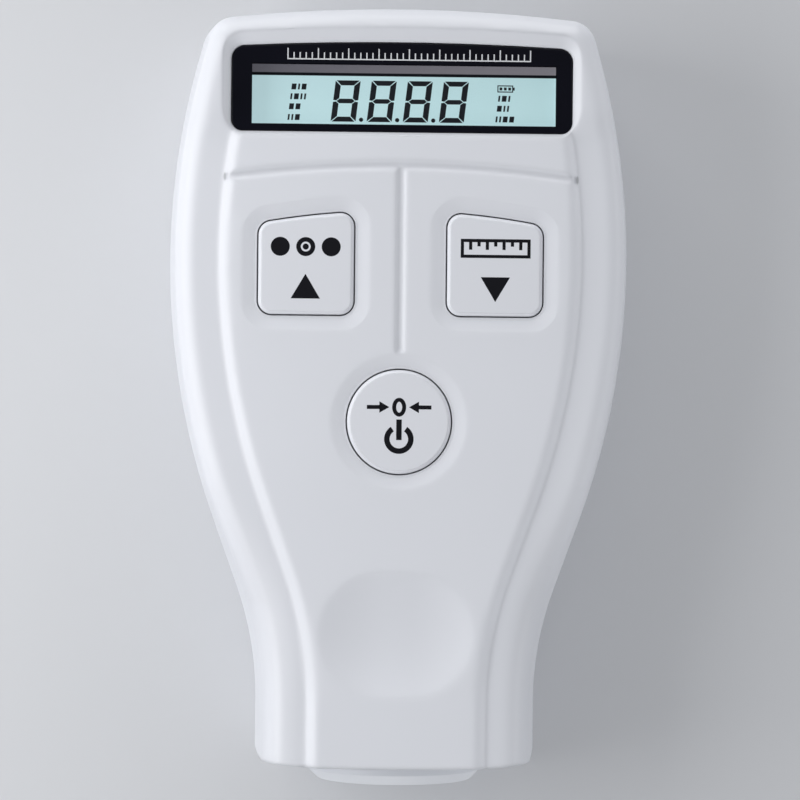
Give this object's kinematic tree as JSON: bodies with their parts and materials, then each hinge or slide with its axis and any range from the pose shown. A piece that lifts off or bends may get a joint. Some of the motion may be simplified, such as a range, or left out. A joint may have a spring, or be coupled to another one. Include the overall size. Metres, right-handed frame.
{
  "type": "digital thickness gauge",
  "caption": "Handheld coating thickness gauge with a display, press keys, a sprung probe in its foot and a sliding battery door.",
  "frame": {"origin": "centre of the whole box's footprint, on the back face that it lies on", "axes": "+Z out of the display, +Y from the probe foot towards the display end, +X to the right of someone reading the display"},
  "size_m": [0.062, 0.104, 0.028],
  "materials": {
    "housing_plastic": "cool white moulded plastic, satin gloss",
    "key_plastic": "cool white moulded plastic, satin gloss",
    "foot_plastic": "white moulded plastic, turned face",
    "window_acrylic": "clear plate printed near black behind",
    "display_glass": "pale grey-cyan liquid crystal cell",
    "light_panel": "white diffuser",
    "contact_rubber": "layered silicone rubber",
    "board_laminate": "green solder mask",
    "chip_resin": "black moulded resin",
    "inner_plastic": "dark moulded plastic",
    "switch_plastic": "black moulded plastic",
    "cell_can": "plain printed can",
    "contact_steel": "nickel-plated spring steel",
    "probe_steel": "turned stainless steel",
    "core_ferrite": "ground core with a hard tip",
    "coil_copper": "enamelled copper wire",
    "lead_sheath": "black flexible sheath",
    "screw_steel": "zinc-plated steel"
  },
  "bodies": {
    "housing": {"front_cover": "housing_plastic", "rear_cover": "housing_plastic", "display_window": "window_acrylic", "lcd_glass": "display_glass", "lcd_holder": "inner_plastic", "backlight_panel": "light_panel", "zebra_strip": "contact_rubber", "main_board": "board_laminate", "controller_chip": "chip_resin", "lead_connector": "inner_plastic", "left_cell": "cell_can", "right_cell": "cell_can", "bridge_contact": "contact_steel", "negative_contact": "contact_steel", "positive_contact": "contact_steel", "probe_foot": "foot_plastic", "probe_spring": "contact_steel", "guide_cap": "inner_plastic", "probe_lead": "lead_sheath", "housing_screws": "screw_steel", "board_screws": "screw_steel", "mode_switch": "switch_plastic", "unit_switch": "switch_plastic", "zero_switch": "switch_plastic"},
    "mode_key": {"mode_key": "key_plastic", "mode_plunger": "switch_plastic"},
    "unit_key": {"unit_key": "key_plastic", "unit_plunger": "switch_plastic"},
    "zero_key": {"zero_key": "key_plastic", "zero_plunger": "switch_plastic"},
    "probe": {"probe_sleeve": "probe_steel", "probe_core": "core_ferrite", "probe_bobbin": "inner_plastic", "probe_coil": "coil_copper", "probe_cap": "inner_plastic"},
    "battery_door": {"battery_door": "housing_plastic"}
  },
  "joints": [
    {"name": "mode_key_press", "type": "slide", "parent": "housing", "child": "mode_key", "axis": [0, 0, -1], "range_m": [0, 0.0004], "stiffness_N_per_m": 4000},
    {"name": "unit_key_press", "type": "slide", "parent": "housing", "child": "unit_key", "axis": [0, 0, -1], "range_m": [0, 0.0004], "stiffness_N_per_m": 4000},
    {"name": "zero_key_press", "type": "slide", "parent": "housing", "child": "zero_key", "axis": [0, 0, -1], "range_m": [0, 0.0004], "stiffness_N_per_m": 4000},
    {"name": "probe_travel", "type": "slide", "parent": "housing", "child": "probe", "axis": [0, 1, 0], "range_m": [0, 0.0015], "stiffness_N_per_m": 600, "springref_m": -0.0005, "deforming": ["probe_spring"]},
    {"name": "battery_door_slide", "type": "slide", "parent": "housing", "child": "battery_door", "axis": [0, 1, 0], "range_m": [0, 0.055]}
  ]
}
